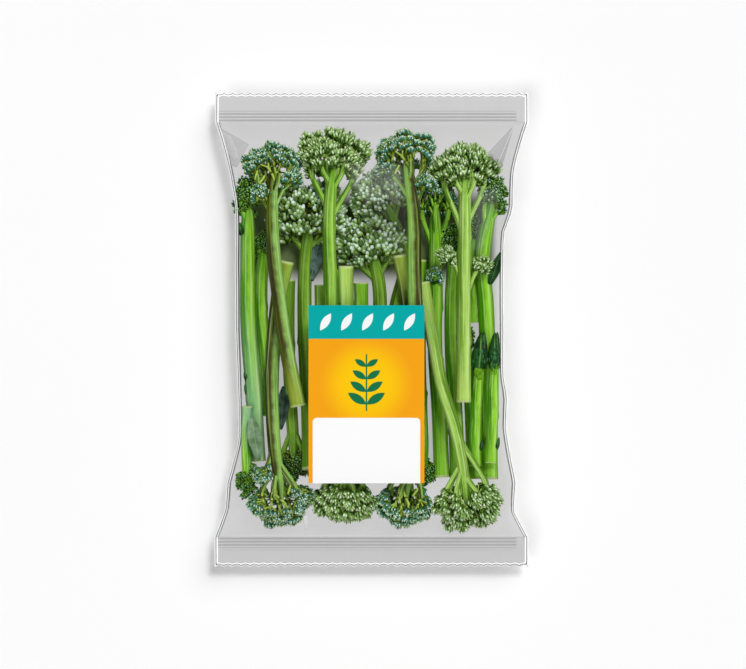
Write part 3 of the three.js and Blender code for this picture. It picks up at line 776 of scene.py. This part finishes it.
def rod(sides, steps, finish, end_finish):
    """An upright rod of radius 1 and height 1."""
    bm = bmesh.new()
    bmesh.ops.create_cone(
        bm, cap_ends=True, segments=sides, radius1=1, radius2=1, depth=1)
    bmesh.ops.translate(bm, verts=bm.verts, vec=(0, 0, 0.5))
    uprights = [e for e in bm.edges if abs(e.verts[0].co.z - e.verts[1].co.z) > 0.5]
    if steps > 1:
        bmesh.ops.subdivide_edges(bm, edges=uprights, cuts=steps - 1, use_grid_fill=True)
    made = Stencil(bm, finish)
    for face in made.mesh.polygons:
        if len(face.vertices) == sides and sides > 4:
            face.use_smooth = False
            face.material_index = end_finish
    return made


def bud(kind):
    """A plump bud, narrower at its tip."""
    bm = bmesh.new()
    if kind["radius"] > 1:
        bmesh.ops.create_uvsphere(bm, u_segments=6, v_segments=4, radius=1)
    else:
        bmesh.ops.create_icosphere(bm, subdivisions=1, radius=1)
    for point in bm.verts:
        narrow = 1 - 0.25 * point.co.z
        point.co.x *= narrow
        point.co.y *= narrow
    return Stencil(bm, BUD)


STALK_ROD = rod(20, 64, SKIN, CUT)
BRANCH_ROD = rod(9, 12, SKIN, SKIN)
STEM_ROD = rod(7, 8, STEM, STEM)
TWIG_ROD = rod(5, 5, STEM, STEM)
PEDICEL_ROD = rod(3, 1, STEM, STEM)
SHEATH_ROD = rod(16, 24, LEAF, LEAF)


def floret(kind, seed):
    """A little dome of buds on fine stems. It stands on the origin and grows along +Z."""
    chance = random.Random(seed)
    shape = bud(kind)
    bm = bmesh.new()
    radius = kind["floret"]
    heart = np.array([0.0, 0.0, radius * 0.9])
    for i in range(kind["count"]):
        polar = kind["open"] * math.sqrt((i + 0.5) / kind["count"])
        turn = i * GOLDEN_TURN + chance.uniform(-0.25, 0.25)
        way = np.array([
            math.sin(polar) * math.cos(turn), math.sin(polar) * math.sin(turn), math.cos(polar)])
        tip = heart + way * radius * chance.uniform(0.8, 1.08)
        lean = unit(way + UP * kind["forward"])
        size = chance.uniform(0.82, 1.15)
        shape.colour(chance.random())
        shape.stand(bm, tip - lean * kind["half"], lean, chance.random() * 6,
                    np.array([kind["radius"], kind["radius"], kind["half"]]) * size)
        if polar > 0.4 and kind["open"] > 1:
            course = Course([heart * 0.1, heart * 0.4 + way * radius * 0.35, tip], way + 0.01)
            PEDICEL_ROD.lay(bm, course, lambda share, angle: PEDICEL_RADIUS)
    return Stencil(bm)


FLORETS = {
    name: [floret(kind, f"{name} {i}") for i in range(FLORET_SHAPES)]
    for name, kind in BUD_KINDS.items()
}


# Spears

def stalk_radius(girth, length, chance):
    """Ribs, a taper, a neck that thins into the head, and a few scars of fallen leaves."""
    scars = [(chance.uniform(0.12, 0.72), chance.uniform(0, 2 * math.pi)) for _ in range(SCARS)]
    phase = chance.uniform(0, 6)

    def radius(share, angle):
        ribs = np.cos(RIDGES * angle + phase) + 0.9 * np.cos(4 * angle - phase + 2 * share)
        neck = 1 - 0.6 * np.clip((share - 0.84) / 0.16, 0, 1) ** 2
        flare = 1 + 0.05 * np.exp(-share * length / 5)
        reach = girth * (1 - TAPER * share) * (1 + RIDGE_DEPTH * ribs) * neck * flare
        for place, turn in scars:
            past = (share - place) * length
            ledge = np.where(past < 0, np.exp(past / 0.8), np.exp(-past / 4))
            reach = reach + SCAR_HEIGHT * ledge * np.clip(np.cos(angle - turn), 0, 1) ** 3
        return reach

    return radius


def thinning(start, end):
    """The radius of a branch that leaves its stalk with a flare."""
    return lambda share, angle: start + (end - start) * share + 0.5 * start * (1 - share) ** 6


def on_dome(crown, axis, side, half, polar, turn):
    """A place on a dome round a crown, an angle from its top and a turn round its axis."""
    round_way = math.sin(polar) * (1 - 0.35 * max(0.0, -math.cos(polar)))
    place = crown + axis * math.cos(polar) * half[2]
    place = place + side * math.cos(turn) * round_way * half[0]
    return place + UP * math.sin(turn) * round_way * half[1]


def grow_stems(bm, count, fork, crown, axis, side, half, arms, scale, chance):
    """Stems that leave the arms low in the head and curve outwards like a fan."""
    trunk = arms[0][1]
    stems = []
    for i in range(count):
        polar = math.acos(1 - 1.55 * (i + 0.5) / count)
        turn = i * GOLDEN_TURN + 0.6
        heading = np.array([math.cos(turn), math.sin(turn)])
        arm = trunk
        if polar > 0.7 and len(arms) > 1:
            arm = max(arms[1:], key=lambda arm: arm[0] @ heading)[1]
        share = 1 - chance.uniform(*fork) * half[2] / arm.length
        start = arm.at(max(0.3, share))
        end = on_dome(crown, axis, side, half * 0.62, polar, turn)
        knee = start + arm.ahead(share) * 0.45 * math.dist(start, end)
        stem = Course([start, knee, end], side + 0.01)
        STEM_ROD.colour(chance.random())
        STEM_ROD.lay(bm, stem, thinning(1.05 * scale, 0.7 * scale))
        stems.append(stem)
    return stems


def grow_head(bm, kind_name, crown, axis, side, size, arms, chance, cover=0.0):
    """Covers a dome with florets that fan out from the neck, each on a twig from a stem."""
    kind = BUD_KINDS[kind_name]
    half = np.array(size) / 2 * (kind["swell"], 1, kind["swell"])
    scale = min(1.0, 0.6 * min(half[0], half[1]) / kind["floret"])
    reach = kind["floret"] * scale * 1.9
    spot = math.pi * (kind["floret"] * scale * kind["spread"]) ** 2
    area = 4 * math.pi * (half[0] * half[1] * half[2]) ** (2 / 3)
    total = max(7, round(area / spot))
    trunk = arms[0][1]
    neck = trunk.at(max(0, 1 - 1.7 * half[2] / trunk.length))
    stems = grow_stems(
        bm, kind["stems"], kind["fork"], crown, axis, side, half, arms, scale ** 0.5, chance)
    phase = chance.uniform(0, 6)
    for i in range(total):
        polar = math.acos(1 - 2 * (i + 0.5) / total)
        turn = i * GOLDEN_TURN + chance.uniform(-0.2, 0.2)
        facing = max(0.0, math.sin(turn))
        if polar > kind["flank"] + (kind["front"] + cover - kind["flank"]) * facing:
            continue
        lobe = 1 + 0.13 * math.cos(5 * polar + 2 * turn + phase) * chance.uniform(0.2, 1.5)
        slim = lobe * (1 - kind["point"] * max(0.0, math.cos(polar)))
        rim = on_dome(crown, axis, side, half * (slim, slim, lobe), polar, turn)
        way = unit(rim - neck + 0.25 * half[1] * (rim - crown) / half[2])
        foot = rim - way * reach * chance.uniform(0.76, 1.16)
        shape = chance.choice(FLORETS[kind_name])
        shape.stand(bm, foot, way, chance.random() * 6, scale * chance.uniform(0.85, 1.12))
        stem = min(stems, key=lambda stem: math.dist(stem.at(1), foot))
        start = stem.at(0.7)
        gap = math.dist(start, foot)
        knee = start + stem.ahead(0.7) * gap * 0.45
        TWIG_ROD.colour(chance.random())
        twig = Course([start, knee, foot + way * 0.8], side + 0.01)
        TWIG_ROD.lay(bm, twig, thinning(0.7 * scale, 0.45 * scale))


def grow_tip(bm, crown, axis, side, size, chance):
    """A smooth dark sheath folded over a closed tip, with ragged scales down one side."""
    foot = crown - axis * size[2] * (0.5 - SHEATH_START)
    end = crown + axis * size[2] / 2
    sheath = Course([foot, (foot + end) / 2, end], side)
    half = np.array(size[:2]) / 2

    def radius(share, angle):
        fold = 1 + 0.06 * np.cos(3 * angle + 9 * share)
        return half.min() * (0.8 + 0.4 * share) * (1.04 - share ** 2.6) * fold

    SHEATH_ROD.lay(bm, sheath, radius)
    for i in range(SCALES):
        share = (i + 0.5) / SCALES
        root = sheath.at(share * 0.8) + side * half.min() * (0.55 - 0.3 * share) + UP * half[1] * 0.3
        length, width = np.array(SCALE_SIZE) * chance.uniform(0.7, 1.2)
        leaf(bm, root, axis, side, length, width, 0.2)


def leaf(bm, root, axis, out, length, width, away=1.5):
    """A small blade that lies along the stalk, creased along its midrib."""
    blade = bmesh.new()
    bmesh.ops.create_grid(blade, x_segments=6, y_segments=14, size=0.5)
    for point in blade.verts:
        share = point.co.y + 0.5
        breadth = width * (0.18 + 0.82 * math.sin(math.pi * (0.08 + 0.9 * share)))
        point.co.x *= breadth
        point.co.y = share * length
        ripple = 0.5 * math.sin(share * 9) * abs(point.co.x) / width
        point.co.z = 2 * math.sin(math.pi * share) + 0.35 * abs(point.co.x) + ripple
    bmesh.ops.solidify(blade, geom=blade.faces[:], thickness=0.4)
    bmesh.ops.recalc_face_normals(blade, faces=blade.faces)
    shape = Stencil(blade, LEAF)
    places = root + shape.rest[:, 1:2] * axis + shape.rest[:, 2:3] * UP
    places = places + out * (away + shape.rest[:, 1:2] * 0.1 * away + shape.rest[:, 0:1])
    shape.stamp(bm, places)


def spear(plan):
    chance = random.Random(plan["name"])
    girth = plan["girth"]
    width, depth, height = plan["size"]
    crown = np.array(plan["crown"], float)
    axis = unit((crown - plan["bends"][-1]) * (1, 1, 0))
    side = np.cross(axis, UP)
    stalk = Course([plan["foot"], *plan["bends"], plan["crown"]], side)
    bm = bmesh.new()
    STALK_ROD.lay(bm, stalk, stalk_radius(girth, stalk.length, chance))
    arms = [(np.zeros(2), stalk)]
    for drop, turn in plan.get("branches", []):
        heading = np.array([math.cos(math.radians(turn)), math.sin(math.radians(turn))])
        place = crown - axis * height * 0.12
        place = place + side * heading[0] * width * 0.33 + UP * heading[1] * depth * 0.3
        start = 1 - drop / stalk.length
        points = []
        for i in range(5):
            ease = (i / 4) ** 2 * (3 - i / 2)
            points.append(stalk.at(start + (1 - start) * i / 4) + (place - crown) * ease)
        branch = Course(points, side)
        BRANCH_ROD.lay(bm, branch, thinning(1.9, 1.5))
        arms.append((heading, branch))
    grow_head(bm, plan["buds"], crown, axis, side, plan["size"], arms, chance)
    if plan["buds"] == "closed":
        grow_tip(bm, crown, axis, side, plan["size"], chance)
    for drop, at, radius in plan.get("shoots", []):
        at = np.array(at, float)
        start = 1 - drop / stalk.length
        root = stalk.at(start)
        knee = root + (at - root) * 0.55 + stalk.ahead(start) * 0.18 * math.dist(root, at)
        arm = Course([root, knee, at], side)
        BRANCH_ROD.lay(bm, arm, thinning(1.7, 1.3))
        size = (2 * radius, 1.8 * radius, 2.2 * radius)
        grow_head(bm, plan["buds"], at, axis, side, size, [(np.zeros(2), arm)], chance, 0.3)
    for share, hand, length, breadth, rise in plan.get("leaves", []):
        root = stalk.at(share) + side * hand * girth * 0.4 + UP * rise
        leaf(bm, root, axis, side * hand, length, breadth)
    foliage = LEAVES[plan.get("foliage", "dark")]
    materials = [SKINS[plan["skin"]], STEMS[plan["skin"]], BUDS[plan["buds"]], CUT_FLESH, foliage]
    return finished(bm, plan["name"].replace("spear", "broccoli"), materials, plan["name"])


# Bag and label

def half_width(y):
    share = min(1, abs(y) / PILLOW_HALF)
    return WAIST_WIDTH / 2 + (SEAL_WIDTH - WAIST_WIDTH) / 2 * share ** FLARE


def bulge(x, y):
    """1 at the middle of the pillow and 0 along its seams."""
    along = 1 - min(1, abs(y) / PILLOW_HALF) ** FULLNESS
    across = 1 - min(1, abs(x) / half_width(y)) ** FULLNESS
    return math.sqrt(max(0, along * across))


def film_top(x, y):
    return SEAM_HEIGHT + SEAM_HALF + RISE * bulge(x, y)


def film_row(row):
    """Where a row of the film's grid lies along the bag. Row 0 is its middle."""
    rows = PILLOW_ROWS / 2
    past = abs(row) - rows
    if past <= 0:
        return math.copysign(PILLOW_HALF * math.sin(abs(row) / rows * math.pi / 2), row)
    if past <= RIB_ROWS:
        return math.copysign(PILLOW_HALF + RIB_ZONE * past / RIB_ROWS, row)
    hem = (past - RIB_ROWS) / HEM_ROWS
    return math.copysign(PILLOW_HALF + RIB_ZONE + (SEAL_DEPTH - RIB_ZONE) * hem, row)


def wall(bm, upper):
    """One sheet of the bag, with half of each seal."""
    rows = PILLOW_ROWS + 2 * (RIB_ROWS + HEM_ROWS)
    before = set(bm.verts)
    bmesh.ops.create_grid(bm, x_segments=FILM_COLUMNS, y_segments=rows, size=1)
    edge = bm.verts.layers.float["edge"]
    sense = 1 if upper else -1
    sheet = [point for point in bm.verts if point not in before]
    for point in sheet:
        across = point.co.x
        row = round(point.co.y * rows / 2)
        y = film_row(row)
        from_end = PILLOW_HALF + SEAL_DEPTH - abs(y)
        past = max(0, abs(y) - PILLOW_HALF)
        reach = half_width(y)
        swell = 0.5 if past == 0 else 0
        share = across * (1 - swell) + math.sin(across * math.pi / 2) * swell
        folds = RIGHT_FOLD if share > 0 else LEFT_FOLD
        x = share * (reach + np.interp(y, *zip(*folds)) * share ** 4)
        at_rim = abs(across) > 0.9999 or abs(row) == rows / 2
        if past > 0:
            thick = SEAM_HALF
            if 0.8 < past < RIB_ZONE - 0.3 and abs(x) < SEAL_WIDTH / 2 - 5:
                thick += RIB_HEIGHT * (0.5 - 0.5 * math.cos(2 * math.pi * (past - 0.8) / RIB_PITCH))
            z = SEAM_HEIGHT - past * math.tan(SEAL_TILT) + sense * thick * (0 if at_rim else 1)
            tooth = 0.5 - 0.5 * math.cos(2 * math.pi * TEETH * (across + 1) / 2)
            fade = max(0, 1 - from_end / 5)
            y -= math.copysign(TOOTH_DEPTH * tooth * fade, y)
        else:
            full = bulge(share * reach, y)
            swollen = (RISE if upper else SINK) * full
            z = SEAM_HEIGHT + sense * (SEAM_HALF * (0 if at_rim else 1) + swollen)
        point[edge] = min(reach * (1 - abs(share)), from_end)
        point.co = (x, y, max(0, z))
    if not upper:
        faces = [face for face in bm.faces if face.verts[0] not in before]
        bmesh.ops.reverse_faces(bm, faces=faces)


def clear_film():
    bm = bmesh.new()
    bm.verts.layers.float.new("edge")
    wall(bm, True)
    wall(bm, False)
    bmesh.ops.remove_doubles(bm, verts=bm.verts, dist=0.001)
    for x, y in VENTS:
        middle = min(bm.verts, key=lambda p: math.dist((p.co.x, p.co.y, p.co.z * 9), (x, y, 0)))
        ring = bmesh.ops.bevel(
            bm, geom=[middle], offset=VENT_RADIUS, segments=2, profile=0.5, material=-1,
            affect="VERTICES")
        bmesh.ops.delete(bm, geom=ring["faces"], context="FACES")
    for face in bm.faces:
        face.smooth = True
    return finished(bm, "clear_film", [film_skin()], "bag_film")


def paper_label():
    bm = bmesh.new()
    bmesh.ops.create_grid(bm, x_segments=24, y_segments=36, size=0.5)
    for point in bm.verts:
        x = LABEL_CENTRE[0] + point.co.x * LABEL_SIZE[0]
        y = LABEL_CENTRE[1] + point.co.y * LABEL_SIZE[1]
        point.co = (x, y, film_top(x, y) + LABEL_GAP)
    raised = bmesh.ops.extrude_face_region(bm, geom=bm.faces[:])
    top = [part for part in raised["geom"] if isinstance(part, bmesh.types.BMVert)]
    bmesh.ops.translate(bm, verts=top, vec=(0, 0, LABEL_THICKNESS))
    bmesh.ops.recalc_face_normals(bm, faces=bm.faces)
    return finished(bm, "paper_label", [label_print()], "label")


def finished(bm, name, materials, node):
    """Turns a mesh in millimetres into a piece that stands for a solid."""
    bmesh.ops.scale(bm, vec=(MM, MM, MM), verts=bm.verts)
    mesh = bpy.data.meshes.new(name)
    bm.to_mesh(mesh)
    bm.free()
    for material in materials:
        mesh.materials.append(material)
    piece = bpy.data.objects.new(name, mesh)
    bpy.context.scene.collection.objects.link(piece)
    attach(piece, "root")
    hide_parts(node)
    return piece


# Stage

PHOTO_WIDTH = 746
PIXEL = 0.6  # millimetres at the height of the seals
PHOTO_CENTRE = (1.2, -3)
CAMERA_HEIGHT = 3.0
SENSOR = 36
FLOOR_HALF = 4  # metres
FLOOR_DROP = 0.3
SKY_STRENGTH = 0.2

# The suns: where each one stands, how soft it is in radians, and its strength
SUNS = [
    ((0.22, 0.4, 1), 0.25, 1.1),
    ((0.55, 0.7, 1), 0.7, 0.95),
    ((-0.35, -0.35, 1), 0.6, 0.86),
]


def floor():
    bm = bmesh.new()
    bmesh.ops.create_grid(bm, x_segments=4, y_segments=4, size=FLOOR_HALF)
    bmesh.ops.translate(bm, verts=bm.verts, vec=(0, 0, -FLOOR_DROP * MM))
    mesh = bpy.data.meshes.new("floor")
    bm.to_mesh(mesh)
    bm.free()
    mesh.materials.append(floor_paint())
    ground = bpy.data.objects.new("floor", mesh)
    bpy.context.scene.collection.objects.link(ground)


def camera():
    eye = bpy.data.cameras.new("camera")
    eye.sensor_width = SENSOR
    eye.lens = SENSOR * CAMERA_HEIGHT / (PHOTO_WIDTH * PIXEL * MM)
    eye.clip_end = 20
    holder = bpy.data.objects.new("camera", eye)
    holder.location = (
        PHOTO_CENTRE[0] * MM, PHOTO_CENTRE[1] * MM, CAMERA_HEIGHT + SEAM_HEIGHT * MM)
    bpy.context.scene.collection.objects.link(holder)
    bpy.context.scene.camera = holder


def sun(toward, softness, strength):
    """A soft sun that shines from a direction."""
    light = bpy.data.lights.new("sun", "SUN")
    light.angle = softness
    light.energy = strength
    holder = bpy.data.objects.new("sun", light)
    holder.rotation_euler = Vector(toward).to_track_quat("Z", "Y").to_euler()
    bpy.context.scene.collection.objects.link(holder)


def sky(strength):
    world = bpy.data.worlds.new("sky")
    world.use_nodes = True
    background = world.node_tree.nodes["Background"]
    background.inputs["Color"].default_value = (1, 1, 1, 1)
    background.inputs["Strength"].default_value = strength
    bpy.context.scene.world = world


camera()
floor()
sky(SKY_STRENGTH)
for toward, softness, strength in SUNS:
    sun(toward, softness, strength)
clear_film()
paper_label()
for plan in SPEARS:
    spear(plan)

bpy.context.scene.view_settings.view_transform = "Standard"
